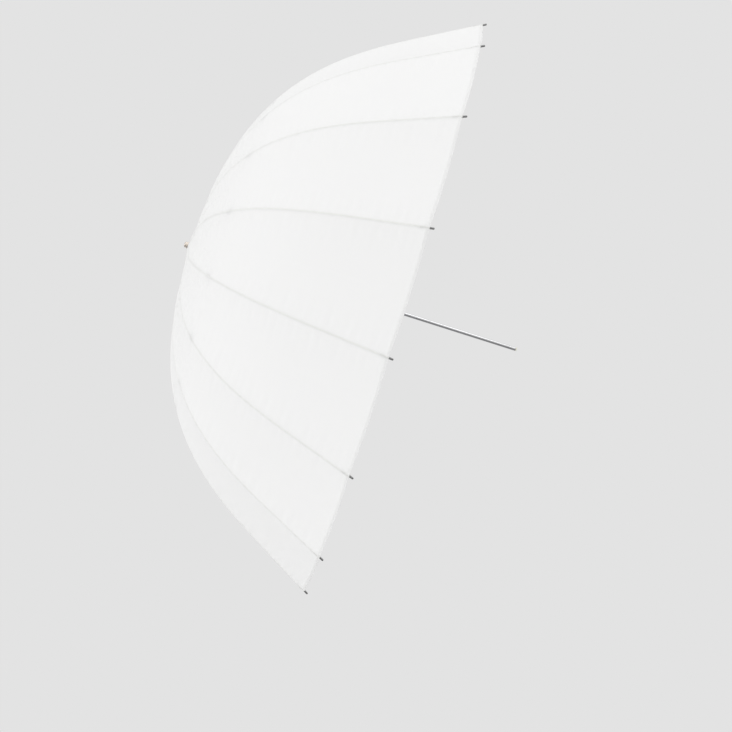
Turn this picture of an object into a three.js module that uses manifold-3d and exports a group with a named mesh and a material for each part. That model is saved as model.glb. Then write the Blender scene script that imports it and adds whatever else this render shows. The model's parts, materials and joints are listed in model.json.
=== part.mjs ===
// Deep white shoot-through photographic umbrella, millimetres, +Z up.
// The shaft lies along X with its free end at +X and the crown at -X. The origin is the point on the
// shaft's axis where a lighting bracket grips it. The umbrella is open, as it is used.
import * as THREE from 'three';
import { mergeVertices } from 'three/addons/utils/BufferGeometryUtils.js';
import Module from 'manifold-3d';

const wasm = await Module();
wasm.setup();

// ---- Driving dimensions ----------------------------------------------------------------------------
const RIB_COUNT = 16;
const RIB_PITCH = (2 * Math.PI) / RIB_COUNT;
const FIRST_RIB = THREE.MathUtils.degToRad(9.65); // turn of the first rib about X from straight up
const GAP = 0.35;                                // running clearance between neighbours
const OVERCUT = 1;                               // how far a cutter passes the face that it opens
const MERGE_DISTANCE = 1e-4;
const TURNED_SIDES = 24;
const PIN_SIDES = 8;
const ROD_SIDES = 6;

const SHAFT_RADIUS = 4;
const SHAFT_WALL = 0.7;
const SHAFT_START = -709;
const SHAFT_END = 43;
const BORE_RADIUS = SHAFT_RADIUS + GAP;

// A rib leaves the crown's wire ring nearly square to the shaft and turns smoothly towards the rim.
const HINGE_X = -694;
const RING_RADIUS = 14;
const RIB_LENGTH = 835;
const RIB_RADIUS = 1.75;
const RIB_STEPS = 12;
const ELBOW_STEP = 5;                            // the step at which the stretcher joins the rib
const ROOT_SLOPE = THREE.MathUtils.degToRad(3);
const RIM_SLOPE = THREE.MathUtils.degToRad(60.5);
const BEND_START = 0.01;
const BEND_END = 0.84;

// The crown and the runner are grooved wheels with sixteen slots, each with a wire ring in its groove.
const WIRE_RADIUS = 0.8;
const GROOVE = WIRE_RADIUS + GAP;
const HUB_RADIUS = 18;
const HUB_SHOULDER = 0.8;
const HUB_UNDERSIDE = 5;                         // from the ring's plane towards the free end
const SLOT_WIDTH = 3;
const SLOT_FLOOR = 10.8;
const SLOT_BACKING = 1.3;                        // thickness of the hub under the slots' floor
const CROWN_TOP = 5.6;
const CROWN_ROOF = 2;                            // left over the crown's slots
const CROWN_SLEEVE = 13;
const CROWN_SLEEVE_RADIUS = 7.5;
const RUNNER_TOP = 5;
const RUNNER_SLEEVE_RADIUS = 8.5;
const BLADE_THICKNESS = 2.2;
const BLADE_WIDTH = 4.8;
const BLADE_LENGTH = 12;
const BLADE_OVERLAP = 4;                         // length of blade crimped onto the rod
const BLADE_CORNER = 1;
const EYE_RADIUS = 1.25;

const ROD_END_GAP = 1.5;                         // each rod stops this far from the elbow's axis
const CHEEK_INSIDE = RIB_RADIUS + GAP;
const CHEEK_THICKNESS = 1;
const CHEEK_TOP = 1;                             // the cheeks stay low, clear of the sloping panels
const CHEEK_REACH = [-9, 6];                     // along the rib from the stretcher's pivot
const WEB_REACH = [-9, -3];                      // solid bridge between the cheeks
const LUG_RADIUS = 2.6;
const STRETCHER_DROP = 6;                        // stretcher pivot, inwards from the rib's centreline
const PIN_RADIUS = 1.2;
const TIP_LENGTH = 9;
const TIP_RADIUS = 2.25;
const TIP_FLOOR = 1;                             // closed end of a tip cap, beyond the rod

const RUNNER_X = -500;                           // plane of the runner's wire ring, umbrella open
const RUNNER_SLEEVE = 35;
const RUNNER_SHORTFALL = 3;                      // the stretchers end this far from the ring's centreline

const CANOPY_TOP_X = -702;
const CANOPY_HOLE = 4.9;
const CANOPY_DISC = 17;
const CANOPY_CLEARANCE = GAP + 0.1;              // between a rib and the cloth over it
const CANOPY_EDGE_GAP = 0.5;                     // between the cloth's edge and a tip cap
const FABRIC = 1;
const PANEL_SAG = 0.03;                          // inward sag of a panel, as a share of its width

const PAD_RADIUS = 15;
const PAD_THICKNESS = 0.7;
const WASHER_RADIUS = 11;
const WASHER_THICKNESS = 0.8;
const FERRULE_LENGTH = 8.9;
const FERRULE_DOME = 3.7;                        // height of the dome over the head's widest circle
const FERRULE_HEAD_RADIUS = 6.6;
const FERRULE_NECK = [2.4, 6.2];                 // distance from the flange's face, and radius
const FERRULE_FLANGE = [1.6, 8];                 // thickness and radius
const PLUG_LENGTH = 14;
const PLUG_HEAD = 3;
const PLUG_CHAMFER = 0.6;

// A leaf through a slot in the shaft stops the runner. It turns on a pin across the shaft.
const CATCH_THICKNESS = 1.8;
const CATCH_SLOT = 2.6;
const CATCH_SLOT_REACH = [34, 62.5];             // from the runner's ring
const CATCH_PIVOT = [RUNNER_X + 59.5, 1];
const CATCH_PIN_RADIUS = 0.7;
const CATCH_PIN_LENGTH = 7.8;
const CATCH_NOSE_X = RUNNER_X + RUNNER_SLEEVE + 0.4;
const CATCH_HEIGHT = 6.6;                        // top of the nose, from the shaft's axis
const CATCH_FLOOR = 1.6;                         // underside of the nose
const CATCH_FLAT = 2;                            // length of the nose's flat top
const CATCH_BACK = [17, 3.2];                    // foot of the sloping back: from the nose, and height
const CATCH_EYE = 1.8;                           // radius of the round end

// ---- Materials -------------------------------------------------------------------------------------
function finish(color, roughness, metalness) {
  return new THREE.MeshStandardMaterial({ color, roughness, metalness });
}

const FABRIC_WHITE = finish(0xf6f6f4, 0.85, 0);
const POLISHED_STEEL = finish(0xc9cacc, 0.2, 1);
const SPRING_STEEL = finish(0xa9abad, 0.35, 1);
const GLASS_FIBRE = finish(0xe9ebe6, 0.45, 0);
const WHITE_NYLON = finish(0xe8e8e5, 0.5, 0);

// ---- Solids ----------------------------------------------------------------------------------------
function toSolid(geometry) {
  const bare = geometry.clone();
  bare.deleteAttribute('normal');
  bare.deleteAttribute('uv');
  const merged = mergeVertices(bare, MERGE_DISTANCE);
  return new wasm.Manifold(new wasm.Mesh({
    numProp: 3,
    vertProperties: merged.attributes.position.array,
    triVerts: new Uint32Array(merged.index.array),
  }));
}

function toGeometry(solid) {
  const { vertProperties, triVerts } = solid.getMesh();
  const geometry = new THREE.BufferGeometry();
  geometry.setAttribute('position', new THREE.BufferAttribute(vertProperties, 3));
  geometry.setIndex(new THREE.BufferAttribute(triVerts, 1));
  return geometry;
}

function join(...geometries) {
  return toGeometry(geometries.map(toSolid).reduce((whole, piece) => whole.add(piece)));
}

function cut(geometry, ...tools) {
  return toGeometry(tools.map(toSolid).reduce((whole, tool) => whole.subtract(tool), toSolid(geometry)));
}

// A solid turned about X from [x, radius] pairs.
function turned(profile, segments = TURNED_SIDES) {
  const points = profile.map(([x, radius]) => new THREE.Vector2(radius, x));
  return new THREE.LatheGeometry(points, segments).rotateZ(-Math.PI / 2);
}

// A ring or tube turned about X: the profile closes on itself.
function turnedRing(profile, segments = TURNED_SIDES) {
  return turned([...profile, profile[0]], segments);
}

// A flat plate in the XZ plane, centred on it: the shape's x runs along X and its y along Z.
function plate(shape, thickness) {
  const options = { depth: thickness, bevelEnabled: false, curveSegments: 2 };
  return new THREE.ExtrudeGeometry(shape, options).translate(0, 0, -thickness / 2).rotateX(Math.PI / 2);
}

function roundHole(x, y, radius, sides) {
  const hole = new THREE.Path();
  for (let side = 0; side < sides; side += 1) {
    const turn = (2 * Math.PI * side) / sides;
    const point = [x + radius * Math.cos(turn), y + radius * Math.sin(turn)];
    if (side === 0) hole.moveTo(...point);
    else hole.lineTo(...point);
  }
  hole.closePath();
  return hole;
}

// A round bar across the shaft, along Y.
function crossPin(x, z, radius, length) {
  return new THREE.CylinderGeometry(radius, radius, length, PIN_SIDES).translate(x, 0, z);
}

// A flat bar from the origin towards angle, measured from X to Z, with an eye at its start.
function eyedBar(length, angle, eyeRadius) {
  const half = BLADE_WIDTH / 2;
  const outline = new THREE.Shape();
  outline.absarc(0, 0, half, Math.PI / 2, 1.5 * Math.PI, false);
  outline.lineTo(length - BLADE_CORNER, -half);
  outline.lineTo(length, BLADE_CORNER - half);
  outline.lineTo(length, half - BLADE_CORNER);
  outline.lineTo(length - BLADE_CORNER, half);
  outline.closePath();
  outline.holes.push(roundHole(0, 0, eyeRadius, PIN_SIDES));
  return plate(outline, BLADE_THICKNESS).rotateY(-angle);
}

function wireRing(x) {
  return new THREE.TorusGeometry(RING_RADIUS, WIRE_RADIUS, ROD_SIDES, 2 * RIB_COUNT)
    .rotateY(Math.PI / 2)
    .rotateX(FIRST_RIB)
    .translate(x, 0, 0);
}

// A box on each rib's plane, from radius floor outwards, to cut the slots of the crown and runner.
function ribSlots(from, to) {
  const height = HUB_RADIUS + OVERCUT - SLOT_FLOOR;
  const slot = new THREE.BoxGeometry(to - from, SLOT_WIDTH, height)
    .translate((from + to) / 2, 0, SLOT_FLOOR + height / 2);
  return Array.from({ length: RIB_COUNT }, (_, index) => slot.clone().rotateX(ribTurn(index)));
}

function ribTurn(index) {
  return FIRST_RIB + index * RIB_PITCH;
}

// ---- Rib line --------------------------------------------------------------------------------------
// Slope of the rib at share u of its length, measured from square to the shaft.
function ribSlope(u) {
  return ROOT_SLOPE + (RIM_SLOPE - ROOT_SLOPE) * THREE.MathUtils.smoothstep(u, BEND_START, BEND_END);
}

// Point of the rib's centreline, as [x, distance from the shaft's axis].
function ribPoint(u) {
  const pieces = 200;
  const step = (u * RIB_LENGTH) / pieces;
  let [x, radius] = [HINGE_X, RING_RADIUS];
  for (let piece = 0; piece < pieces; piece += 1) {
    const slope = ribSlope((u * (piece + 0.5)) / pieces);
    x += step * Math.sin(slope);
    radius += step * Math.cos(slope);
  }
  return [x, radius];
}

// Point off the rib's centreline, outwards being away from the hollow side.
function besideRib(u, outwards) {
  const [x, radius] = ribPoint(u);
  const slope = ribSlope(u);
  return [x - outwards * Math.cos(slope), radius + outwards * Math.sin(slope)];
}

class RibLine extends THREE.Curve {
  constructor(from, to) {
    super();
    this.from = from;
    this.to = to;
  }

  getPoint(t) {
    const [x, radius] = ribPoint(THREE.MathUtils.lerp(this.from, this.to, t));
    return new THREE.Vector3(x, 0, radius);
  }
}

function rod(from, to, steps, radius, sides) {
  const section = new THREE.Shape(roundHole(0, 0, radius, sides).getPoints().slice(0, sides));
  const extrudePath = new RibLine(from, to);
  return new THREE.ExtrudeGeometry(section, { steps, bevelEnabled: false, extrudePath });
}

const ELBOW = ELBOW_STEP / RIB_STEPS;
const ELBOW_POINT = ribPoint(ELBOW);
const STRETCHER_PIVOT = besideRib(ELBOW, -STRETCHER_DROP);
const END_GAP = ROD_END_GAP / RIB_LENGTH;

// ---- Shaft group -----------------------------------------------------------------------------------
function shaftGeometry() {
  const inside = SHAFT_RADIUS - SHAFT_WALL;
  const tube = turnedRing([
    [SHAFT_START, inside],
    [SHAFT_START, SHAFT_RADIUS],
    [SHAFT_END, SHAFT_RADIUS],
    [SHAFT_END, inside],
  ]);
  const [from, to] = CATCH_SLOT_REACH;
  const slot = new THREE.BoxGeometry(to - from, CATCH_SLOT, SHAFT_RADIUS)
    .translate(RUNNER_X + (from + to) / 2, 0, SHAFT_RADIUS);
  const through = 2 * (SHAFT_RADIUS + OVERCUT);
  return cut(tube, slot, crossPin(...CATCH_PIVOT, CATCH_PIN_RADIUS + GAP, through));
}

function shaftPlugGeometry() {
  const stem = SHAFT_RADIUS - SHAFT_WALL - GAP;
  return turned([
    [SHAFT_END - PLUG_LENGTH, 0],
    [SHAFT_END - PLUG_LENGTH, stem],
    [SHAFT_END + GAP, stem],
    [SHAFT_END + GAP, SHAFT_RADIUS],
    [SHAFT_END + PLUG_HEAD - PLUG_CHAMFER, SHAFT_RADIUS],
    [SHAFT_END + PLUG_HEAD, SHAFT_RADIUS - PLUG_CHAMFER],
    [SHAFT_END + PLUG_HEAD, 0],
  ]);
}

// A grooved wheel with a slot for each rib or stretcher, on the plane x. Its slots start at slotTop.
function slottedHub(x, top, sleeveEnd, sleeveRadius, slotTop) {
  const wheel = turnedRing([
    [x - top, BORE_RADIUS],
    [x - top, HUB_RADIUS - HUB_SHOULDER],
    [x - top + HUB_SHOULDER, HUB_RADIUS],
    [x - GROOVE, HUB_RADIUS],
    [x - GROOVE, RING_RADIUS - GROOVE],
    [x + GROOVE, RING_RADIUS - GROOVE],
    [x + GROOVE, HUB_RADIUS],
    [x + HUB_UNDERSIDE, HUB_RADIUS],
    [x + HUB_UNDERSIDE, SLOT_FLOOR - SLOT_BACKING],
    [x + sleeveEnd, sleeveRadius],
    [x + sleeveEnd, BORE_RADIUS],
  ], 2 * RIB_COUNT);
  return cut(wheel, ...ribSlots(x - slotTop, x + HUB_UNDERSIDE + OVERCUT));
}

function crownGeometry() {
  const roofedSlots = CROWN_TOP - CROWN_ROOF;
  return slottedHub(HINGE_X, CROWN_TOP, CROWN_SLEEVE, CROWN_SLEEVE_RADIUS, roofedSlots);
}

// The runner's slots are open at both sides, and a keyway lets it pass over the catch.
function runnerGeometry() {
  const openSlots = RUNNER_TOP + OVERCUT;
  const hub = slottedHub(RUNNER_X, RUNNER_TOP, RUNNER_SLEEVE, RUNNER_SLEEVE_RADIUS, openSlots);
  const [floor, roof] = [SHAFT_RADIUS - OVERCUT, CATCH_HEIGHT + GAP];
  const [from, to] = [RUNNER_X - RUNNER_TOP - OVERCUT, RUNNER_X + RUNNER_SLEEVE + OVERCUT];
  const keyway = new THREE.BoxGeometry(to - from, CATCH_SLOT, roof - floor)
    .translate((from + to) / 2, 0, (floor + roof) / 2);
  return cut(hub, keyway);
}

// A turned cap on the shaft's end: a domed head, a waist and a flange that clamps the cloth.
function ferruleGeometry() {
  const base = CANOPY_TOP_X - 2 * GAP - WASHER_THICKNESS;
  const [neckReach, neckRadius] = FERRULE_NECK;
  const [flangeThickness, flangeRadius] = FERRULE_FLANGE;
  const steps = 3;
  const dome = Array.from({ length: steps + 1 }, (_, step) => {
    const turn = (step * Math.PI) / (2 * steps);
    const x = base - FERRULE_LENGTH + FERRULE_DOME * (1 - Math.cos(turn));
    return [x, FERRULE_HEAD_RADIUS * Math.sin(turn)];
  });
  return turned([
    ...dome,
    [base - neckReach, neckRadius],
    [base - flangeThickness, flangeRadius],
    [base, flangeRadius],
    [base, BORE_RADIUS],
    [SHAFT_START - GAP, BORE_RADIUS],
    [SHAFT_START - GAP, 0],
  ]);
}

// A flat disc on the shaft, from x towards the free end.
function washerGeometry(x, radius, thickness) {
  return turnedRing([
    [x, BORE_RADIUS],
    [x, radius],
    [x + thickness, radius],
    [x + thickness, BORE_RADIUS],
  ]);
}

function catchGeometry() {
  const [pivotX, pivotZ] = CATCH_PIVOT;
  const [backReach, backHeight] = CATCH_BACK;
  const outline = new THREE.Shape();
  outline.moveTo(CATCH_NOSE_X, CATCH_HEIGHT);
  outline.lineTo(CATCH_NOSE_X, CATCH_FLOOR);
  for (let turn = -2; turn <= 2; turn += 1) {
    const angle = (turn * Math.PI) / 3;
    outline.lineTo(pivotX + CATCH_EYE * Math.cos(angle), pivotZ + CATCH_EYE * Math.sin(angle));
  }
  outline.lineTo(CATCH_NOSE_X + backReach, backHeight);
  outline.lineTo(CATCH_NOSE_X + CATCH_FLAT, CATCH_HEIGHT);
  outline.closePath();
  outline.holes.push(roundHole(pivotX, pivotZ, CATCH_PIN_RADIUS + GAP, PIN_SIDES));
  return plate(outline, CATCH_THICKNESS);
}

// ---- Rib group, built on the plane of a rib that stands straight up --------------------------------
function innerRibGeometry() {
  const rootShare = (BLADE_LENGTH - BLADE_OVERLAP) / RIB_LENGTH;
  const length = rod(rootShare, ELBOW - END_GAP, ELBOW_STEP, RIB_RADIUS, ROD_SIDES);
  const blade = eyedBar(BLADE_LENGTH, Math.PI / 2 - ROOT_SLOPE, EYE_RADIUS)
    .translate(HINGE_X, 0, RING_RADIUS);
  const onElbow = (geometry) => geometry
    .rotateY(ribSlope(ELBOW) - Math.PI / 2)
    .translate(ELBOW_POINT[0], 0, ELBOW_POINT[1]);
  const [cheekStart, cheekEnd] = CHEEK_REACH;
  const cheek = new THREE.Shape();
  cheek.moveTo(cheekStart, CHEEK_TOP);
  cheek.lineTo(cheekStart, -LUG_RADIUS);
  cheek.absarc(0, -STRETCHER_DROP, LUG_RADIUS, 1.1 * Math.PI, 1.9 * Math.PI, false); // its underside
  cheek.lineTo(cheekEnd, -LUG_RADIUS);
  cheek.lineTo(cheekEnd, CHEEK_TOP);
  cheek.closePath();
  const side = CHEEK_INSIDE + CHEEK_THICKNESS / 2;
  const cheeks = [-side, side].map((y) => onElbow(plate(cheek, CHEEK_THICKNESS)).translate(0, y, 0));
  const across = 2 * (CHEEK_INSIDE + CHEEK_THICKNESS);
  const deep = CHEEK_TOP + LUG_RADIUS;
  const [webStart, webEnd] = WEB_REACH;
  const web = onElbow(new THREE.BoxGeometry(webEnd - webStart, across, deep)
    .translate((webStart + webEnd) / 2, 0, CHEEK_TOP - deep / 2));
  const pin = crossPin(...STRETCHER_PIVOT, PIN_RADIUS, across);
  return join(length, blade, ...cheeks, web, pin);
}

function outerRibGeometry() {
  const rodEnd = 1 - TIP_FLOOR / RIB_LENGTH;
  const length = rod(ELBOW + END_GAP, rodEnd, RIB_STEPS - ELBOW_STEP, RIB_RADIUS, ROD_SIDES);
  const cap = rod(1 - TIP_LENGTH / RIB_LENGTH, 1, 1, TIP_RADIUS, PIN_SIDES);
  return join(length, cap);
}

function stretcherGeometry() {
  const [pivotX, pivotZ] = STRETCHER_PIVOT;
  const reach = Math.hypot(RUNNER_X - pivotX, RING_RADIUS - pivotZ) - RUNNER_SHORTFALL;
  const angle = Math.atan2(RING_RADIUS - pivotZ, RUNNER_X - pivotX);
  return eyedBar(reach, angle, EYE_RADIUS + GAP).translate(pivotX, 0, pivotZ);
}

// ---- Canopy ----------------------------------------------------------------------------------------
// Point of the canopy over a rib at a row, depth being below its outer face.
function canopyOverRib(row, depth) {
  if (row < 2) return [CANOPY_TOP_X + depth, row === 0 ? CANOPY_HOLE : CANOPY_DISC];
  const full = 1 - (TIP_LENGTH + CANOPY_EDGE_GAP) / RIB_LENGTH;
  const u = Math.min((row - 1) / RIB_STEPS, full);
  return besideRib(u, RIB_RADIUS + CANOPY_CLEARANCE + FABRIC - depth);
}

// Sixteen panels: a column of points on every rib and one down the middle of every panel.
function canopyGeometry() {
  const columns = 2 * RIB_COUNT;
  const rows = RIB_STEPS + 2;
  const positions = [];
  for (const depth of [0, FABRIC]) {
    for (let row = 0; row < rows; row += 1) {
      for (let column = 0; column < columns; column += 1) {
        const middle = column % 2 === 1;
        let [x, radius] = canopyOverRib(row, depth);
        if (middle) {
          const sag = row < 2 ? 0 : PANEL_SAG * radius * RIB_PITCH;
          const slope = ribSlope(Math.max(row - 1, 0) / RIB_STEPS);
          x += sag * Math.cos(slope);
          radius = radius * Math.cos(RIB_PITCH / 2) - sag * Math.sin(slope);
        }
        const turn = FIRST_RIB + (column * RIB_PITCH) / 2;
        positions.push(x, -radius * Math.sin(turn), radius * Math.cos(turn));
      }
    }
  }
  const at = (layer, row, column) => (layer * rows + row) * columns + (column % columns);
  const faces = [];
  const quad = (a, b, c, d) => faces.push(a, b, c, a, c, d);
  for (let column = 0; column < columns; column += 1) {
    const next = column + 1;
    for (let row = 0; row < rows - 1; row += 1) {
      quad(at(0, row, column), at(0, row, next), at(0, row + 1, next), at(0, row + 1, column));
      quad(at(1, row, column), at(1, row + 1, column), at(1, row + 1, next), at(1, row, next));
    }
    const last = rows - 1;
    quad(at(0, last, column), at(0, last, next), at(1, last, next), at(1, last, column));
    quad(at(0, 0, next), at(0, 0, column), at(1, 0, column), at(1, 0, next));
  }
  const geometry = new THREE.BufferGeometry();
  geometry.setAttribute('position', new THREE.Float32BufferAttribute(positions, 3));
  geometry.setIndex(faces);
  return geometry;
}

// ---- Assembly --------------------------------------------------------------------------------------
const umbrella = new THREE.Group();

function place(name, geometry, material, turn = 0) {
  const mesh = new THREE.Mesh(geometry, material);
  mesh.name = name;
  mesh.rotation.x = turn;
  umbrella.add(mesh);
}

place('shaft', shaftGeometry(), POLISHED_STEEL);
place('shaft_end_plug', shaftPlugGeometry(), WHITE_NYLON);
place('crown', crownGeometry(), WHITE_NYLON);
place('crown_ring', wireRing(HINGE_X), SPRING_STEEL);
place('crown_pad', washerGeometry(CANOPY_TOP_X + FABRIC + GAP, PAD_RADIUS, PAD_THICKNESS), WHITE_NYLON);
place('canopy', canopyGeometry(), FABRIC_WHITE);
const washerX = CANOPY_TOP_X - GAP - WASHER_THICKNESS;
place('ferrule_washer', washerGeometry(washerX, WASHER_RADIUS, WASHER_THICKNESS), POLISHED_STEEL);
place('ferrule', ferruleGeometry(), POLISHED_STEEL);
place('runner', runnerGeometry(), WHITE_NYLON);
place('runner_ring', wireRing(RUNNER_X), SPRING_STEEL);
place('catch_spring', catchGeometry(), SPRING_STEEL);
place('catch_pin', crossPin(...CATCH_PIVOT, CATCH_PIN_RADIUS, CATCH_PIN_LENGTH), SPRING_STEEL);

const innerRib = innerRibGeometry();
const outerRib = outerRibGeometry();
const stretcher = stretcherGeometry();
for (let index = 0; index < RIB_COUNT; index += 1) {
  const number = String(index + 1).padStart(2, '0');
  place(`rib_inner_${number}`, innerRib, GLASS_FIBRE, ribTurn(index));
  place(`rib_outer_${number}`, outerRib, GLASS_FIBRE, ribTurn(index));
  place(`stretcher_${number}`, stretcher, SPRING_STEEL, ribTurn(index));
}

export default umbrella;
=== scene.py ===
import json
import math

import bmesh
import bpy
import numpy as np
from mathutils import Matrix, Vector


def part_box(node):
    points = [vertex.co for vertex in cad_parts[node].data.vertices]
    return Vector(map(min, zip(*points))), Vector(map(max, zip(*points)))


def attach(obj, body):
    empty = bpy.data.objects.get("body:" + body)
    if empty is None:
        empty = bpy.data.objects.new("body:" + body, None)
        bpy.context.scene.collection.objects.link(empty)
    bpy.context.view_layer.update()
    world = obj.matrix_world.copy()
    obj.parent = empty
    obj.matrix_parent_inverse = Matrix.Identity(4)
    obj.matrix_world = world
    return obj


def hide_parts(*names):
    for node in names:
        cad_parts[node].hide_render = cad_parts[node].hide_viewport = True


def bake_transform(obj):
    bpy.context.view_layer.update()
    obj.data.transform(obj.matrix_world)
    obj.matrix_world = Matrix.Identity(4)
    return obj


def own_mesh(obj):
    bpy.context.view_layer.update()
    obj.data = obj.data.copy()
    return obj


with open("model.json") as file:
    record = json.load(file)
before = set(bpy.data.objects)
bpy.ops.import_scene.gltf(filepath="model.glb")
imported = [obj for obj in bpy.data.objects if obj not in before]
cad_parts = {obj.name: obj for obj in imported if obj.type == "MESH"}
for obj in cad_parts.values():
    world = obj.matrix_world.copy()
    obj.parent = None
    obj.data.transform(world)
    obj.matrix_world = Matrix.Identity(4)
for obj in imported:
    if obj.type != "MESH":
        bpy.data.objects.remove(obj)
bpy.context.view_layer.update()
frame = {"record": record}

# Looks of a deep white shoot-through umbrella. The frame is the CAD's: the shaft along X with its free
# end at +X, +Z up, metres, and the origin where a lighting bracket grips the shaft.
JOINTS = {joint["name"]: joint for joint in frame["record"]["behaviour"]["joints"]}
RIB_NAMES = [f"{number:02d}" for number in range(1, 17)]
RIB_PITCH = 2 * math.pi / len(RIB_NAMES)
MM = 0.001

# ---- Driving dimensions, the same as the CAD's ------------------------------------------------------
HINGE_X, _, _ = JOINTS["rib_fold_01"]["pos_m"]
RING_RADIUS = 14 * MM
RIB_LENGTH = 835 * MM
ROOT_SLOPE = math.radians(3)
RIM_SLOPE = math.radians(60.5)
BEND_START = 0.01
BEND_END = 0.84
ELBOW = 5 / 12                      # share of the rib's length where its stretcher joins
RIB_RADIUS = 1.75 * MM
STRETCHER_DROP = 6 * MM
TIP_LENGTH = 9 * MM
SHAFT_RADIUS = 4 * MM
BORE_RADIUS = 4.35 * MM
RUNNER_X = -500 * MM
RUNNER_SLEEVE = 35 * MM
CANOPY_TOP_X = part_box("canopy")[0][0]
CLOTH_LIFT = RIB_RADIUS + 0.3 * MM  # the cloth's distance from a rib's centreline
DISC_RADIUS = 17 * MM
SHOULDER_SHARE = 1 / 12             # where the cloth settles onto the ribs
BLEND_SHARE = 1 / 24                # where the part that bends at the crown ends
NECK_SHARE = 1 / 8                  # where the gathered neck of the closed canopy ends
PANEL_SAG = 0.03


# ---- Mesh helpers -----------------------------------------------------------------------------------
def add_object(name, vertices, faces, smooth=True):
    mesh = bpy.data.meshes.new(name)
    mesh.from_pydata([tuple(vertex) for vertex in vertices], [], faces)
    mesh.update()
    if smooth:
        mesh.shade_smooth()
    piece = bpy.data.objects.new(name, mesh)
    bpy.context.scene.collection.objects.link(piece)
    return piece


def smoothstep(value, start, end):
    share = np.clip((value - start) / (end - start), 0, 1)
    return share * share * (3 - 2 * share)


def grid_faces(rows, columns, wrap=False, first=0):
    """Quads of a grid of rows by columns of vertices; wrap joins the last column to the first."""
    faces = []
    for row in range(rows - 1):
        for column in range(columns if wrap else columns - 1):
            beside = (column + 1) % columns
            corner = first + row * columns
            faces.append((corner + column, corner + beside,
                          corner + columns + beside, corner + columns + column))
    return faces


def rings_object(name, rings, capped=True, angle=40):
    """A closed skin over a list of rings, each with the same number of points."""
    columns = len(rings[0])
    vertices = [point for ring in rings for point in ring]
    faces = grid_faces(len(rings), columns, wrap=True)
    if capped:
        faces.append(tuple(range(columns))[::-1])
        faces.append(tuple(range(len(vertices) - columns, len(vertices))))
    else:
        last = (len(rings) - 1) * columns
        for column in range(columns):
            beside = (column + 1) % columns
            faces.append((last + column, last + beside, beside, column))
    piece = add_object(name, vertices, faces)
    face_outwards(piece)
    piece.data.set_sharp_from_angle(angle=math.radians(angle))
    return piece


def face_outwards(piece):
    mesh = bmesh.new()
    mesh.from_mesh(piece.data)
    bmesh.ops.recalc_face_normals(mesh, faces=mesh.faces)
    mesh.to_mesh(piece.data)
    mesh.free()


def full_turn(steps):
    """Angles once round, evenly spaced, without a second one for the start."""
    return np.linspace(0, 2 * math.pi, steps, endpoint=False)


def turned(name, profile, segments=64, closed=False):
    """A solid turned about X from (x, radius) pairs; closed joins its last ring to its first."""
    rings = [[(x, radius * math.sin(turn), radius * math.cos(turn)) for turn in full_turn(segments)]
             for x, radius in profile]
    return rings_object(name, rings, capped=not closed, angle=35)


def box_mesh(low, high):
    (x0, y0, z0), (x1, y1, z1) = low, high
    vertices = [(x, y, z) for x in (x0, x1) for y in (y0, y1) for z in (z0, z1)]
    faces = [(0, 1, 3, 2), (4, 6, 7, 5), (0, 4, 5, 1), (2, 3, 7, 6), (0, 2, 6, 4), (1, 5, 7, 3)]
    return vertices, faces


def cut_away(piece, cutters, width):
    """Cuts boxes, given as (low, high, turn about X), out of a piece, then rounds its edges."""
    vertices, faces = [], []
    for low, high, turn in cutters:
        corners, sides = box_mesh(low, high)
        spin = Matrix.Rotation(turn, 4, "X")
        faces += [tuple(len(vertices) + corner for corner in side) for side in sides]
        vertices += [tuple(spin @ Vector(corner)) for corner in corners]
    tool = add_object(piece.name + "_tool", vertices, faces, smooth=False)
    face_outwards(tool)
    cut = piece.modifiers.new("cut", "BOOLEAN")
    cut.operation = "DIFFERENCE"
    cut.solver = "EXACT"
    cut.object = tool
    apply_modifiers(piece)
    bpy.data.objects.remove(tool)
    round_edges(piece, width)


def round_edges(piece, width, segments=2):
    bevel = piece.modifiers.new("bevel", "BEVEL")
    bevel.width = width
    bevel.segments = segments
    bevel.limit_method = "ANGLE"
    bevel.angle_limit = math.radians(40)
    bevel.harden_normals = True
    apply_modifiers(piece)


def apply_modifiers(piece):
    graph = bpy.context.evaluated_depsgraph_get()
    mesh = bpy.data.meshes.new_from_object(piece.evaluated_get(graph))
    old = piece.data
    piece.modifiers.clear()
    piece.data = mesh
    bpy.data.meshes.remove(old)


def plate(name, outline, thickness, edge=0.2 * MM):
    """A flat plate in the XZ plane from an outline of (x, z) points."""
    half = thickness / 2
    rings = [[(x, y, z) for x, z in outline] for y in (-half, half)]
    piece = rings_object(name, rings)
    round_edges(piece, edge)
    return piece


def arc(centre, radius, start, end, steps):
    """Points of an arc from one angle to another, in degrees."""
    angles = np.radians(np.linspace(start, end, steps + 1))
    return [(centre[0] + radius * math.cos(a), centre[1] + radius * math.sin(a)) for a in angles]


# ---- Rib line ---------------------------------------------------------------------------------------
SHARES = np.linspace(0, 1, 1201)
SLOPES = ROOT_SLOPE + (RIM_SLOPE - ROOT_SLOPE) * smoothstep(SHARES, BEND_START, BEND_END)


def running_sum(values):
    steps = (values[1:] + values[:-1]) / 2 * np.diff(SHARES) * RIB_LENGTH
    return np.concatenate([[0], np.cumsum(steps)])


LINE_X = HINGE_X + running_sum(np.sin(SLOPES))
LINE_R = RING_RADIUS + running_sum(np.cos(SLOPES))


def share_of(length):
    """A length along the rib as a share of the whole rib."""
    return length / RIB_LENGTH


def rib_slope(share):
    return np.interp(share, SHARES, SLOPES)


def beside_rib(share, outwards=0.0):
    """(x, radius) of a point off the rib's centreline, outwards being away from the hollow side."""
    slope = rib_slope(share)
    x = np.interp(share, SHARES, LINE_X) - outwards * np.cos(slope)
    return x, np.interp(share, SHARES, LINE_R) + outwards * np.sin(slope)


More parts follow.
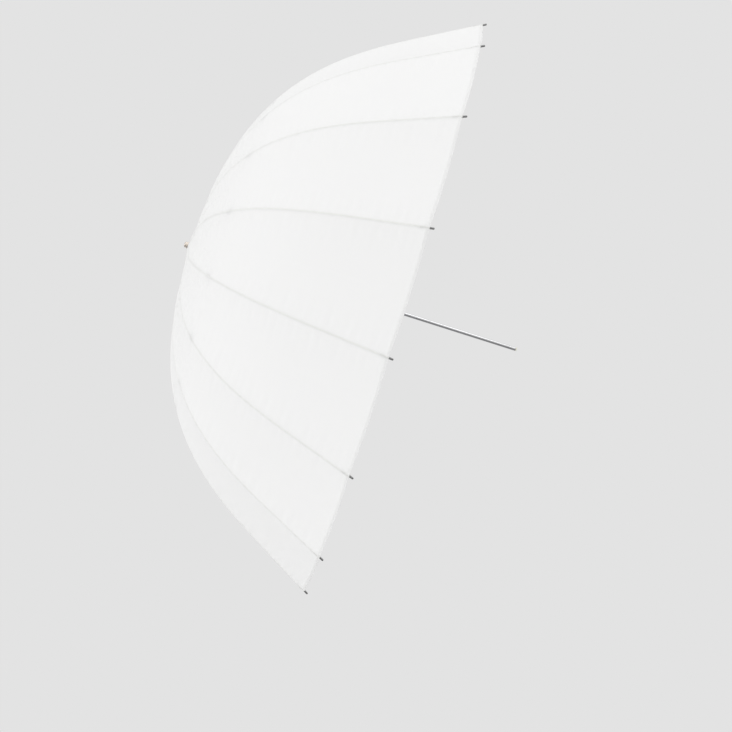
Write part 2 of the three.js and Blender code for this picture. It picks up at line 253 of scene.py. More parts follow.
def rib_turn(number):
    """Turn about X of a rib from straight up, read from its hinge's axis."""
    _, y, z = JOINTS[f"rib_fold_{number}"]["axis"]
    return math.atan2(z, y)


def rib_spin(number):
    """The turn from an upright rib to that rib."""
    return Matrix.Rotation(rib_turn(number), 4, "X")


def stand_on_rib(piece, number):
    """Turns a piece that was built on an upright rib's plane to that rib, in its mesh."""
    piece.data.transform(rib_spin(number))


def along_rib(name, stations, sides):
    """A round skin along the rib line from (share, radius) stations."""
    rings = []
    for share, radius in stations:
        ring = []
        for turn in full_turn(sides):
            x, height = beside_rib(share, radius * math.cos(turn))
            ring.append((float(x), radius * math.sin(turn), float(height)))
        rings.append(ring)
    return rings_object(name, rings, angle=50)


# ---- Materials --------------------------------------------------------------------------------------
class Nodes:
    """A small helper that adds and links shader nodes."""

    def __init__(self, name):
        self.material = bpy.data.materials.new(name)
        self.material.use_nodes = True
        self.tree = self.material.node_tree
        self.tree.nodes.clear()

    def add(self, kind, **inputs):
        node = self.tree.nodes.new(kind)
        for key, value in inputs.items():
            self.put(node, key, value)
        return node

    def put(self, node, key, value):
        socket = node.inputs[int(key[1:])] if key[0] == "i" and key[1:].isdigit() else node.inputs[
            key.replace("_", " ")]
        if isinstance(value, bpy.types.NodeSocket):
            self.tree.links.new(value, socket)
        else:
            socket.default_value = value

    def maths(self, operation, *values):
        node = self.tree.nodes.new("ShaderNodeMath")
        node.operation = operation
        for index, value in enumerate(values):
            self.put(node, f"i{index}", value)
        return node.outputs[0]

    def ramp(self, value, low, high, to_low=0.0, to_high=1.0, kind="SMOOTHSTEP"):
        node = self.tree.nodes.new("ShaderNodeMapRange")
        node.interpolation_type = kind
        for index, item in enumerate((value, low, high, to_low, to_high)):
            self.put(node, f"i{index}", item)
        return node.outputs[0]

    def blend_colour(self, share, one, other):
        node = self.tree.nodes.new("ShaderNodeMix")
        node.data_type = "RGBA"
        self.put(node, "i0", share)
        self.put(node, "i6", one)
        self.put(node, "i7", other)
        return node.outputs[2]

    def noise(self, vector, scale, detail=3.0, roughness=0.5):
        return self.add("ShaderNodeTexNoise", Vector=vector, Scale=scale, Detail=detail,
                        Roughness=roughness).outputs["Fac"]

    def bump(self, height, strength, distance):
        return self.add("ShaderNodeBump", Height=height, Strength=strength,
                        Distance=distance).outputs["Normal"]

    def finish(self, surface):
        output = self.tree.nodes.new("ShaderNodeOutputMaterial")
        self.tree.links.new(surface, output.inputs["Surface"])
        return self.material


def place_on_object(nodes, stretch=(1, 1, 1)):
    """Object coordinates, stretched."""
    coordinates = nodes.add("ShaderNodeTexCoord").outputs["Object"]
    return nodes.add("ShaderNodeMapping", Vector=coordinates, Scale=stretch).outputs["Vector"]


WEAVE_PITCH = 0.45 * MM
STITCH_ROW = 2.4 * MM               # distance from the seam to the row of stitches on each side
STITCH_LENGTH = 1.6 * MM
THREAD_COLOUR = (0.62, 0.63, 0.60, 1)
CLOUD_COLOUR = (0.80, 0.81, 0.80, 1)


def cloth_material(name, colour, see_through, seam_colour):
    """Translucent woven cloth. Its map gives metres from the seam and metres along it."""
    nodes = Nodes(name)
    across, along, _ = nodes.add("ShaderNodeSeparateXYZ", Vector=nodes.add(
        "ShaderNodeUVMap").outputs["UV"]).outputs
    from_seam = nodes.maths("ABSOLUTE", across)
    seam_half = nodes.ramp(along, 0.1, 0.6, 0.3 * MM, 1.1 * MM, "LINEAR")
    seam = nodes.ramp(from_seam, nodes.maths("MULTIPLY", seam_half, 0.7),
                      nodes.maths("MULTIPLY", seam_half, 1.5), 1.0, 0.0)
    row = nodes.ramp(nodes.maths("ABSOLUTE", nodes.maths("SUBTRACT", from_seam, STITCH_ROW)),
                     0.15 * MM, 0.4 * MM, 1.0, 0.0)
    dash = nodes.ramp(nodes.maths("PINGPONG", along, STITCH_LENGTH), 0.35 * MM, 0.55 * MM)
    stitch = nodes.maths("MULTIPLY", row, dash)
    where = place_on_object(nodes)
    clouds = nodes.noise(where, 7.0, 4.0)
    tinted = nodes.blend_colour(nodes.ramp(clouds, 0.3, 0.7, 0.0, 0.02), colour, CLOUD_COLOUR)
    tinted = nodes.blend_colour(nodes.maths("MULTIPLY", seam, 0.48), tinted, seam_colour)
    tinted = nodes.blend_colour(nodes.maths("MULTIPLY", stitch, 0.25), tinted, THREAD_COLOUR)
    warp = nodes.maths("SINE", nodes.maths("MULTIPLY", across, 2 * math.pi / WEAVE_PITCH))
    weft = nodes.maths("SINE", nodes.maths("MULTIPLY", along, 2 * math.pi / WEAVE_PITCH))
    weave = nodes.maths("MULTIPLY", warp, weft)
    height = nodes.maths("ADD", nodes.maths("MULTIPLY", weave, 0.05), nodes.maths(
        "MULTIPLY", nodes.noise(where, 900.0, 2.0), 0.35))
    height = nodes.maths("SUBTRACT", height, stitch)
    normal = nodes.bump(height, 0.25, 0.25 * MM)
    surface = nodes.add("ShaderNodeBsdfPrincipled", Base_Color=tinted, Roughness=0.82,
                        Specular_IOR_Level=0.25, Sheen_Weight=0.15, Normal=normal)
    glow = nodes.add("ShaderNodeBsdfTranslucent", Color=tinted, Normal=normal)
    share = nodes.maths("SUBTRACT", see_through, nodes.maths("MULTIPLY", seam, 0.09))
    mixed = nodes.add("ShaderNodeMixShader", Fac=share, i1=surface.outputs[0], i2=glow.outputs[0])
    return nodes.finish(mixed.outputs[0])


METAL_WEAR = 0.08                   # most that the lines, and again the patches, add to roughness


def metal_material(name, colour, roughness, streak=(1, 1, 1), metallic=1.0):
    """Metal with fine drawn lines and patchy roughness."""
    nodes = Nodes(name)
    lines = nodes.noise(place_on_object(nodes, streak), 900.0, 4.0, 0.6)
    patches = nodes.noise(place_on_object(nodes), 60.0, 5.0, 0.6)
    rough = nodes.maths("ADD", nodes.ramp(lines, 0.3, 0.7, roughness, roughness + METAL_WEAR),
                        nodes.ramp(patches, 0.45, 0.8, 0.0, METAL_WEAR))
    darker = tuple(0.8 * value for value in colour[:3]) + (1,)
    tint = nodes.blend_colour(nodes.ramp(patches, 0.5, 0.85, 0.0, 0.5), colour, darker)
    surface = nodes.add("ShaderNodeBsdfPrincipled", Base_Color=tint, Roughness=rough,
                        Metallic=metallic, Normal=nodes.bump(lines, 0.06, 0.05 * MM))
    return nodes.finish(surface.outputs[0])


def plastic_material(name, colour, roughness, grain=700.0, coat=0.0):
    """Moulded plastic with a fine grain and slightly uneven gloss."""
    nodes = Nodes(name)
    where = place_on_object(nodes)
    fine = nodes.noise(where, grain, 3.0)
    broad = nodes.noise(where, 90.0, 4.0)
    darker = tuple(0.86 * value for value in colour[:3]) + (1,)
    tint = nodes.blend_colour(nodes.ramp(broad, 0.4, 0.8, 0.0, 0.6), colour, darker)
    surface = nodes.add("ShaderNodeBsdfPrincipled", Base_Color=tint, Coat_Weight=coat,
                        Roughness=nodes.ramp(broad, 0.3, 0.8, roughness, roughness + 0.15),
                        Subsurface_Weight=0.05, Normal=nodes.bump(fine, 0.12, 0.06 * MM))
    return nodes.finish(surface.outputs[0])


WHITE_CLOTH = cloth_material("white_cloth", (0.93, 0.93, 0.928, 1), 0.3, (0.87, 0.88, 0.84, 1))
POCKET_CLOTH = cloth_material("pocket_cloth", (0.86, 0.865, 0.85, 1), 0.25, (0.80, 0.81, 0.78, 1))
SHAFT_METAL = metal_material("polished_shaft", (0.74, 0.74, 0.75, 1), 0.09, (0.02, 1, 1))
FERRULE_METAL = metal_material("polished_ferrule", (0.82, 0.74, 0.66, 1), 0.08)
SPRING_METAL = metal_material("spring_steel", (0.60, 0.61, 0.62, 1), 0.28, (0.05, 1, 1))
CHANNEL_METAL = metal_material("zinc_plated_channel", (0.66, 0.67, 0.68, 1), 0.24, (1, 1, 0.05))
TIP_METAL = metal_material("dark_tip", (0.27, 0.27, 0.27, 1), 0.38, metallic=0.85)
RIB_FIBRE = plastic_material("glass_fibre_rod", (0.86, 0.87, 0.83, 1), 0.35, 1500.0, 0.3)
NYLON = plastic_material("white_nylon", (0.84, 0.84, 0.82, 1), 0.38)
END_NYLON = plastic_material("pale_end_nylon", (0.80, 0.77, 0.66, 1), 0.42)


def dress(piece, material, body, nodes):
    """Gives a piece its material, the body it rides on and the CAD nodes it stands for. The
    body is None where the calling function bakes the piece in place or attaches it itself."""
    piece.data.materials.clear()
    piece.data.materials.append(material)
    if body:
        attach(piece, body)
    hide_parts(*nodes)


# ---- Camera -----------------------------------------------------------------------------------------
SENSOR_WIDTH = 36.0                 # millimetres
LENS_PER_SENSOR = 2.41              # focal length over sensor width
CAMERA_ROLL = math.radians(17.54)   # so that the level shaft runs downhill in the picture
CAMERA_YAW = math.radians(-1.97)
RIM_CENTRE = Vector((beside_rib(1 - share_of(TIP_LENGTH / 2))[0], 0, 0))
CAMERA_FROM_RIM = Vector((-0.1503, -3.837, -0.1333))


def make_camera():
    lens = bpy.data.cameras.new("camera")
    lens.sensor_width = SENSOR_WIDTH
    lens.lens = SENSOR_WIDTH * LENS_PER_SENSOR
    lens.clip_end = 100.0
    camera = bpy.data.objects.new("camera", lens)
    bpy.context.scene.collection.objects.link(camera)
    turn = Matrix.Rotation(CAMERA_YAW, 4, "Z") @ Matrix.Rotation(math.pi / 2, 4, "X")
    turn = turn @ Matrix.Rotation(CAMERA_ROLL, 4, "Z")
    camera.matrix_world = Matrix.Translation(RIM_CENTRE + CAMERA_FROM_RIM) @ turn
    bpy.context.scene.camera = camera


make_camera()

# ---- Canopy -----------------------------------------------------------------------------------------
RIM_SHARE = 1 - share_of(TIP_LENGTH + 0.5 * MM)
ROWS_PER_METRE = 190
SEAM_HEIGHT = 0.35 * MM
SEAM_HALF_WIDTH = 2.8 * MM
SEAM_FOOT = 4.6 * MM                # distance at which the raised seam has sloped down to the panel
PUCKER_DEPTH = 0.35 * MM
PUCKER_LENGTH = 21 * MM
PUCKER_RISE = 4 * MM
PUCKER_REACH = 16 * MM
HEM_WIDTH = 6 * MM
HEM_LIFT = 0.2 * MM
HEM_STEP = 0.3 * MM                 # length in which the cloth rises over its turned-in hem
HEM_START = RIM_SHARE - share_of(HEM_WIDTH)
HEM_GAP = 0.03                      # share of each half panel, beside the rib, without a hem under it
CENTRE_STEPS = 8                    # sides of the round middle for each rib
# The shoulder of the cloth bends between these distances from the shaft's axis.
# width that it keeps when folded, and the part of the rib that carries it.
FOLDING_CLOTH = (("neck", BLEND_SHARE, NECK_SHARE, 0.5, "rib_inner"),
                 ("inner", NECK_SHARE, ELBOW, 0.33, "rib_inner"),
                 ("outer", ELBOW, RIM_SHARE, 0.09, "rib_outer"))
# Columns from a seam to the middle of a panel, as shares of the way, closer together near the seam.
COLUMNS = np.array([0, .009, .018, .026, .034, .05, .075, .12, .18, .26, .36, .48, .61, .74, .87, 1])
ACROSS = np.concatenate([-COLUMNS[:0:-1], COLUMNS])


def cloth_line(share):
    """(x, radius) of the cloth over a rib: a curve from the crown's edge, at share 0, and the rib's
    own line from SHOULDER_SHARE on."""
    x, radius = beside_rib(share, CLOTH_LIFT)
    settle_x, settle_r = beside_rib(SHOULDER_SHARE, CLOTH_LIFT)
    start, end = DISC_RADIUS, float(settle_r)
    part = np.clip(share / SHOULDER_SHARE, 0, 1)
    shoulder_r = start + (end - start) * part
    drop = float(settle_x) - CANOPY_TOP_X
    end_slope = math.tan(rib_slope(SHOULDER_SHARE)) * (end - start)
    start_slope = 1.5 * drop - 0.25 * end_slope
    shoulder_x = (CANOPY_TOP_X + start_slope * (part - 2 * part ** 2 + part ** 3)
                  + drop * (3 * part ** 2 - 2 * part ** 3) + end_slope * (part ** 3 - part ** 2))
    on_shoulder = share < SHOULDER_SHARE
    return np.where(on_shoulder, shoulder_x, x), np.where(on_shoulder, shoulder_r, radius)


def cloth_point(share, across, lift, phase):
    """Points of the cloth on an upright rib's two half panels. Across is 0 on the seam and 1 mid
    panel, lift stands the cloth off the panel, and phase varies the puckers from rib to rib."""
    x, radius = cloth_line(share)
    way = np.abs(across) / 2
    side = np.sign(across)
    y = side * radius * math.sin(RIB_PITCH) * way
    z = radius * (1 - (1 - math.cos(RIB_PITCH)) * way)
    from_seam = 2 * radius * math.sin(RIB_PITCH / 2) * way
    slope = rib_slope(share)
    width = 2 * radius * math.sin(RIB_PITCH / 2)
    tight = smoothstep(share, 0, SHOULDER_SHARE)
    sag = PANEL_SAG * width * 4 * way * (1 - way) * tight
    seam = SEAM_HEIGHT * (1 - smoothstep(from_seam, SEAM_HALF_WIDTH, SEAM_FOOT))
    wave = np.sin(2 * math.pi * share * RIB_LENGTH / PUCKER_LENGTH + phase * 3 + side * phase)
    wave = wave + 0.6 * np.sin(2 * math.pi * share * RIB_LENGTH / (1.7 * PUCKER_LENGTH) + phase * 7)
    fade = from_seam / PUCKER_RISE * np.exp(-from_seam / PUCKER_REACH) * tight
    outwards = seam + lift - sag + PUCKER_DEPTH * wave * fade
    middle_turn = side * RIB_PITCH * way
    x = x - outwards * np.cos(slope)
    y = y + outwards * np.sin(slope) * np.sin(middle_turn)
    z = z + outwards * np.sin(slope) * np.cos(middle_turn)
    return np.stack([x, y, z], axis=-1)


def cloth_normals(share, across, phase):
    """Normals of the cloth, away from the hollow side."""
    step = 1e-4
    down = cloth_point(share + step, across, 0, phase) - cloth_point(share - step, across, 0, phase)
    over = cloth_point(share, across + step, 0, phase) - cloth_point(share, across - step, 0, phase)
    normal = np.cross(over, down)
    normal /= np.maximum(np.linalg.norm(normal, axis=-1, keepdims=True), 1e-12)
    return np.where(normal[..., :1] > 0, -normal, normal)


def cloth_panel(name, number, shares, with_hem):
    """One strip of the canopy, centred on a rib's seam, over these shares of the rib's length. Returns
    it with each vertex's normal, its place across the panel and its metres along the rib."""
    phase = float(number)
    lifts = np.zeros(len(shares))
    if with_hem:
        lifts = HEM_LIFT * smoothstep(shares, HEM_START - share_of(HEM_STEP), HEM_START)
    rows, sides = np.meshgrid(shares, ACROSS, indexing="ij")
    lift = np.repeat(lifts[:, None], len(ACROSS), axis=1)
    points = cloth_point(rows, sides, lift, phase)
    normals = cloth_normals(rows, np.where(sides == 0, 1e-3, sides), phase)
    along = rows * RIB_LENGTH
    faces = [face[::-1] for face in grid_faces(len(shares), len(ACROSS))]
    if with_hem:
        fold_shares = share_of(np.array([0.45, 0.62, 0.45, 0.0, -0.5, -5, -HEM_WIDTH / MM]) * MM)
        fold_lifts = np.array([0.28, 0.0, -0.35, -0.55, -0.55, -0.55, -0.4]) * MM
        under_rows, under_sides = np.meshgrid(RIM_SHARE + fold_shares, ACROSS, indexing="ij")
        under_lift = np.repeat(fold_lifts[:, None], len(ACROSS), axis=1)
        under = cloth_point(under_rows, under_sides, under_lift, phase)
        first = (len(shares) - 1) * len(ACROSS)
        clear = [abs(side) > HEM_GAP for side in ACROSS]
        for face in grid_faces(len(fold_shares) + 1, len(ACROSS), first=first):
            if all(clear[corner % len(ACROSS)] for corner in face):
                faces.append(face[::-1])
        points = np.concatenate([points, under])
        sides = np.concatenate([sides, under_sides])
        along = np.concatenate([along, RIM_SHARE * RIB_LENGTH + np.repeat(
            (np.abs(fold_shares) * RIB_LENGTH)[:, None], len(ACROSS), axis=1)])
        normals = np.concatenate([normals, np.zeros_like(under)])
    piece = add_object(name, points.reshape(-1, 3), faces)
    mesh = bmesh.new()
    mesh.from_mesh(piece.data)
    bmesh.ops.delete(mesh, geom=[v for v in mesh.verts if not v.link_faces], context="VERTS")
    mesh.to_mesh(piece.data)
    mesh.free()
    return piece, normals.reshape(-1, 3), sides.reshape(-1), along.reshape(-1)


def map_cloth(piece, sides, along):
    """Writes metres from the seam and metres along it to the piece's map."""
    distances = [abs(vertex.co.y) for vertex in piece.data.vertices]
    layer = piece.data.uv_layers.new(name="cloth")
    for loop in piece.data.loops:
        corner = loop.vertex_index
        layer.data[loop.index].uv = (math.copysign(distances[corner], sides[corner] or 1), along[corner])


def make_strip(name, number, start, end, with_hem=False):
    """A strip of the canopy as a piece on its rib."""
    rows = max(3, round((end - start) * RIB_LENGTH * ROWS_PER_METRE))
    shares = np.linspace(start, end, rows + 1)
    if with_hem:
        shares = np.concatenate([shares[shares < HEM_START - share_of(2 * MM)],
                                 [HEM_START - share_of(HEM_STEP), HEM_START],
                                 np.linspace(HEM_START, end, 4)[1:]])
    piece, normals, sides, along = cloth_panel(name, number, shares, with_hem)
    map_cloth(piece, sides, along)
    whole = len(normals) == len(piece.data.vertices)
    if whole and not with_hem:
        piece.data.normals_split_custom_set_from_vertices(normals.tolist())
    stand_on_rib(piece, number)
    dress(piece, WHITE_CLOTH, None, ["canopy"])
    return piece


def make_canopy():
    """The shoulders stay in place at the crown, and each other strip rides on its rib's inner or outer
    part as the runner slides.
    """
    for number in RIB_NAMES:
        shoulder = make_strip(f"canopy_shoulder_{number}", number, 0, BLEND_SHARE)
        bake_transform(shoulder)
        for part, start, end, keep, body in FOLDING_CLOTH:
            strip = make_strip(f"canopy_{part}_{number}", number, start, end, part == "outer")
            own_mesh(strip)
            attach(strip, f"{body}_{number}")


def make_canopy_centre():
    """The flat round middle of the canopy, held between the ferrule and the crown."""
    turns = full_turn(len(RIB_NAMES) * CENTRE_STEPS) + rib_turn("01")
    off_seam = 20 * MM              # puts the map of this piece beside the seams and their stitches
    rings = []
    for radius in np.array([4.9, 7, 10, 13, 15, 17]) * MM:
        ring = []
        for index, turn in enumerate(turns):
            way = (index % CENTRE_STEPS) / CENTRE_STEPS
            chord = math.cos(RIB_PITCH / 2) / math.cos(RIB_PITCH * (way - 0.5))
            reach = radius * (1 + (chord - 1) * (radius / DISC_RADIUS) ** 2)
            ring.append((CANOPY_TOP_X, -reach * math.sin(turn), reach * math.cos(turn)))
        rings.append(ring)
    vertices = [point for ring in rings for point in ring]
    piece = add_object("canopy_centre", vertices, grid_faces(len(rings), len(turns), wrap=True))
    layer = piece.data.uv_layers.new(name="cloth")
    for loop in piece.data.loops:
        _, y, z = piece.data.vertices[loop.vertex_index].co
        layer.data[loop.index].uv = (off_seam + y, z)
    dress(piece, WHITE_CLOTH, "root", ["canopy"])


# ---- Ribs -------------------------------------------------------------------------------------------
def make_rib(number):
    """The rod in one piece, with its stations closer together at the elbow."""
    shares = np.concatenate([np.linspace(share_of(8 * MM), ELBOW - 0.03, 26),
                             np.linspace(ELBOW - 0.025, ELBOW + 0.025, 15),
                             np.linspace(ELBOW + 0.03, 1 - share_of(3 * MM), 40)])
    rod = along_rib(f"rib_{number}", [(share, RIB_RADIUS) for share in shares], 16)
    stand_on_rib(rod, number)
    dress(rod, RIB_FIBRE, None, [f"rib_inner_{number}", f"rib_outer_{number}"])
    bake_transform(rod)


def make_tip(number):
    """Dark metal cap on the rib's end, with a rounded nose and a rolled collar."""
    # distance back from the rib's end and radius, in millimetres
    outline = [(11.5, 1.85), (8.3, 1.9), (8.1, 2.15), (7.5, 2.2), (7.1, 2.0), (5.0, 2.05),
               (2.0, 2.05), (0.9, 1.85), (0.3, 1.4), (0.05, 0.7)]
    stations = [(1 - share_of(back * MM), radius * MM) for back, radius in outline]
    tip = along_rib(f"rib_tip_{number}", stations, 20)
    stand_on_rib(tip, number)
    dress(tip, TIP_METAL, f"rib_outer_{number}", [f"rib_outer_{number}"])


def make_pocket(number):
    """Cloth pocket sewn to the canopy's corner, which the rib's end sits in."""
    # distance back from the rib's end, half width and half depth, in millimetres
    stations = ((30, 2.2, 2.25), (28, 2.7, 2.5), (22, 2.9, 2.65), (16, 2.8, 2.7), (11, 2.6, 2.6),
                (8.8, 2.5, 2.5), (8.6, 2.3, 2.3))
    rings = []
    for back, wide, deep in stations:
        share = 1 - share_of(back * MM)
        ring = []
        for turn in full_turn(20):
            lean = 0.2 * wide * MM * abs(math.sin(turn)) ** 1.5
            x, height = beside_rib(share, deep * MM * math.cos(turn) - lean)
            ring.append((float(x), wide * MM * math.sin(turn), float(height)))
        rings.append(ring)
    pocket = rings_object(f"corner_pocket_{number}", rings, angle=60)
    layer = pocket.data.uv_layers.new(name="cloth")
    for loop in pocket.data.loops:
        x, y, z = pocket.data.vertices[loop.vertex_index].co
        layer.data[loop.index].uv = (y, z)
    stand_on_rib(pocket, number)
    dress(pocket, POCKET_CLOTH, f"rib_outer_{number}", ["canopy"])


def make_rib_blade(number):
    """Flattened eye at the rib's root, on the crown's wire ring, crimped over the rod."""
    eye, neck, end, end_half = 2.4 * MM, 9 * MM, 12 * MM, 1.9 * MM
    outline = arc((0, 0), eye, 90, 270, 12)
    outline += [(neck, -eye), (end, -end_half), (end, end_half), (neck, eye)]
    blade = plate(f"rib_eye_{number}", outline, 2.2 * MM)
    blade.data.transform(Matrix.Rotation(ROOT_SLOPE - math.pi / 2, 4, "Y"))
    blade.data.transform(Matrix.Translation((HINGE_X, 0, RING_RADIUS)))
    stand_on_rib(blade, number)
    dress(blade, SPRING_METAL, f"rib_inner_{number}", [f"rib_inner_{number}"])


def elbow_place():
    """The move to an upright rib's elbow of a piece drawn with x along the rib and z outwards."""
    x, radius = beside_rib(ELBOW)
    turn = Matrix.Rotation(rib_slope(ELBOW) - math.pi / 2, 4, "Y")
    return Matrix.Translation((float(x), 0, float(radius))) @ turn


def set_on_elbow(piece, number):
    """Carries a steel piece that was drawn at the origin to that rib's elbow."""
    piece.data.transform(elbow_place())
    stand_on_rib(piece, number)
    inner = f"rib_inner_{number}"
    dress(piece, SPRING_METAL, inner, [inner])


def pin_rings(x, z, heads, steps):
    """Rings of a pin across the rib's plane from (y, radius) pairs in millimetres."""
    return [[(x + radius * MM * math.cos(turn), y * MM, z + radius * MM * math.sin(turn))
             for turn in full_turn(steps)] for y, radius in heads]


def make_elbow_clip(number):
    """Two pressed cheeks, a saddle round the rod and the stretcher's pivot pin with riveted heads."""
    back, front, top, floor = -10 * MM, 7 * MM, 0.9 * MM, -2.2 * MM
    outline = [(back, top), (back, floor)]
    outline += arc((0, -STRETCHER_DROP), 2.6 * MM, 198, 342, 10)
    outline += [(front, floor), (front, top)]
    for letter, offset in (("a", -2.55 * MM), ("b", 2.55 * MM)):
        cheek = plate(f"elbow_cheek_{letter}_{number}", outline, 0.9 * MM, 0.15 * MM)
        cheek.data.transform(Matrix.Translation((0, offset, 0)))
        set_on_elbow(cheek, number)
    back, front, top, floor = -9 * MM, -4 * MM, 0.8 * MM, -2.4 * MM
    outline = [(back, top), (back, floor), (front, floor), (front, top)]
    set_on_elbow(plate(f"elbow_saddle_{number}", outline, 5.2 * MM), number)
    heads = ((-3.5, 1.0), (-3.4, 1.6), (-3.1, 1.9), (-3.0, 1.2), (3.0, 1.2), (3.1, 1.9), (3.4, 1.6),
             (3.5, 1.0))
    set_on_elbow(rings_object(f"elbow_pin_{number}", pin_rings(0, -STRETCHER_DROP, heads, 16)), number)


def make_stretcher(number):
    """A pressed steel channel, open towards the shaft, flattened to a blade at each end."""
    pivot = Vector(JOINTS[f"stretcher_fold_{number}"]["pos_m"])
    upright = Matrix.Rotation(-rib_turn(number), 4, "X") @ pivot
    reach = Vector((RUNNER_X, 0, RING_RADIUS)) - upright
    span = reach.length / MM
    wall = 0.45 * MM
    # distance from the elbow's pin, half width and depth, in millimetres
    stations = ((-2.4, 1.0, 1.2), (-1.2, 1.1, 3.9), (0, 1.1, 4.6), (5, 1.1, 4.7), (12, 1.15, 4.7),
                (24, 1.35, 4.5), (60, 1.4, 4.4), (span - 60, 1.4, 4.4), (span - 24, 1.3, 4.5),
                (span - 12, 1.1, 4.7), (span - 3, 1.1, 4.6), (span - 1.0, 1.0, 3.6))
    rings = []
    for distance, half_width, depth in stations:
        wide, half = half_width * MM, depth * MM / 2
        section = [(-wide, -half), (-wide, half), (wide, half), (wide, -half),
                   (wide - wall, -half), (wide - wall, half - wall), (wall - wide, half - wall),
                   (wall - wide, -half)]
        rings.append([(distance * MM, y, z) for y, z in section])
    channel = rings_object(f"stretcher_channel_{number}", rings, angle=30)
    round_edges(channel, 0.12 * MM, 1)
    channel.data.transform(Matrix.Rotation(-math.atan2(reach.z, reach.x), 4, "Y"))
    channel.data.transform(Matrix.Translation(upright))
    stand_on_rib(channel, number)
    dress(channel, CHANNEL_METAL, f"stretcher_{number}", [f"stretcher_{number}"])


# ---- Shaft, crown and runner ------------------------------------------------------------------------
CATCH_SLOT_HALF = 1.3 * MM          # half the width of the slots that the catch moves in
RIB_SLOT_HALF = 1.5 * MM
HUB_RADIUS = 18 * MM
HUB_CHAMFER = 0.8 * MM
HUB_STEP_RADIUS = 9.5 * MM          # where the wheel's flat side meets its narrower hub
GROOVE_HALF = 1.15 * MM
GROOVE_FLOOR = 12.85 * MM
WIRE_RADIUS = 0.8 * MM


def make_shaft():
    inside = 3.3 * MM
    chamfer = 0.3 * MM
    start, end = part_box("shaft")[0][0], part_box("shaft")[1][0]
    profile = [(start, inside), (start, SHAFT_RADIUS - chamfer), (start + chamfer, SHAFT_RADIUS),
               (end - chamfer, SHAFT_RADIUS), (end, SHAFT_RADIUS - chamfer), (end, inside)]
    shaft = turned("shaft_tube", profile, closed=True)
    slot = ((RUNNER_X + 34 * MM, -CATCH_SLOT_HALF, 2 * MM),
            (RUNNER_X + 62.5 * MM, CATCH_SLOT_HALF, 6 * MM), 0)
    cut_away(shaft, [slot], 0.1 * MM)
    dress(shaft, SHAFT_METAL, "root", ["shaft"])


def make_end_plug():
    """The cap in the shaft's free end: a stem inside the tube and a rounded head."""
    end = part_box("shaft_end_plug")[1][0]
    neck = end - 2.65 * MM
    profile = [(end - 17 * MM, 1.2 * MM), (end - 16.6 * MM, 2.7 * MM), (neck, 2.95 * MM),
               (neck, SHAFT_RADIUS), (end - 0.7 * MM, SHAFT_RADIUS), (end - 0.3 * MM, 3.8 * MM),
               (end - 0.08 * MM, 3.5 * MM), (end, 3.0 * MM), (end, 1.0 * MM)]
    dress(turned("shaft_end_cap", profile), END_NYLON, "root", ["shaft_end_plug"])


def make_hub(name, node, body, profile, slot_start, slot_end, more_cuts=()):
    """A slotted wheel turned about X, with a slot for each rib or stretcher."""
    hub = turned(name, profile, 96, closed=True)
    slots = [((slot_start, -RIB_SLOT_HALF, 10.8 * MM), (slot_end, RIB_SLOT_HALF, HUB_RADIUS + MM),
              rib_turn(number)) for number in RIB_NAMES]
    cut_away(hub, slots + list(more_cuts), 0.2 * MM)
    dress(hub, NYLON, body, [node])


def hub_profile(plane, front, back, hub_end, hub_radius):
    """Outline of a wheel between front and back, with a groove in the plane of its wire ring, and of
    the narrower hub behind it."""
    return [(front, BORE_RADIUS), (front, HUB_RADIUS - HUB_CHAMFER), (front + HUB_CHAMFER, HUB_RADIUS),
            (plane - GROOVE_HALF, HUB_RADIUS), (plane - GROOVE_HALF, GROOVE_FLOOR),
            (plane + GROOVE_HALF, GROOVE_FLOOR), (plane + GROOVE_HALF, HUB_RADIUS),
            (back, HUB_RADIUS), (back, HUB_STEP_RADIUS), (hub_end - MM, hub_radius),
            (hub_end, hub_radius - MM), (hub_end, BORE_RADIUS)]


def make_wire_ring(name, node, plane, body):
    """The wire that the ribs or the stretchers are threaded on."""
    rings = []
    for turn in full_turn(96):
        ring = []
        for around in full_turn(10):
            radius = RING_RADIUS + WIRE_RADIUS * math.cos(around)
            ring.append((plane + WIRE_RADIUS * math.sin(around), radius * math.sin(turn),
                         radius * math.cos(turn)))
        rings.append(ring)
    ring = rings_object(name, rings, capped=False)
    dress(ring, SPRING_METAL, body, [node])


def make_ferrule():
    """A turned cap screwed on the shaft's end: a flange, a waist and a domed head."""
    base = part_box("ferrule")[1][0]
    # distance out from the washer and radius, in millimetres
    steps = [(0, 4.4), (0, 7.6), (0.3, 8.0), (1.2, 8.0), (1.6, 7.7), (1.9, 6.6), (2.3, 6.15), (3.0, 6.1),
             (4.0, 6.35), (5.2, 6.6), (6.2, 6.45), (7.1, 5.9), (7.9, 4.9), (8.5, 3.4), (8.8, 1.7),
             (8.87, 0.4)]
    profile = [(base - depth * MM, radius * MM) for depth, radius in steps]
    dress(turned("ferrule_cap", profile, 72), FERRULE_METAL, "root", ["ferrule"])


def make_washer(name, node, material, rim):
    """A flat ring on the shaft, as large as its CAD node, with its outer edges cut off by rim."""
    low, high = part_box(node)
    radius = high[2]
    profile = [(low[0], BORE_RADIUS), (low[0], radius - rim), (low[0] + rim, radius),
               (high[0] - rim, radius), (high[0], radius - rim), (high[0], BORE_RADIUS)]
    dress(turned(name, profile, closed=True), material, "root", [node])


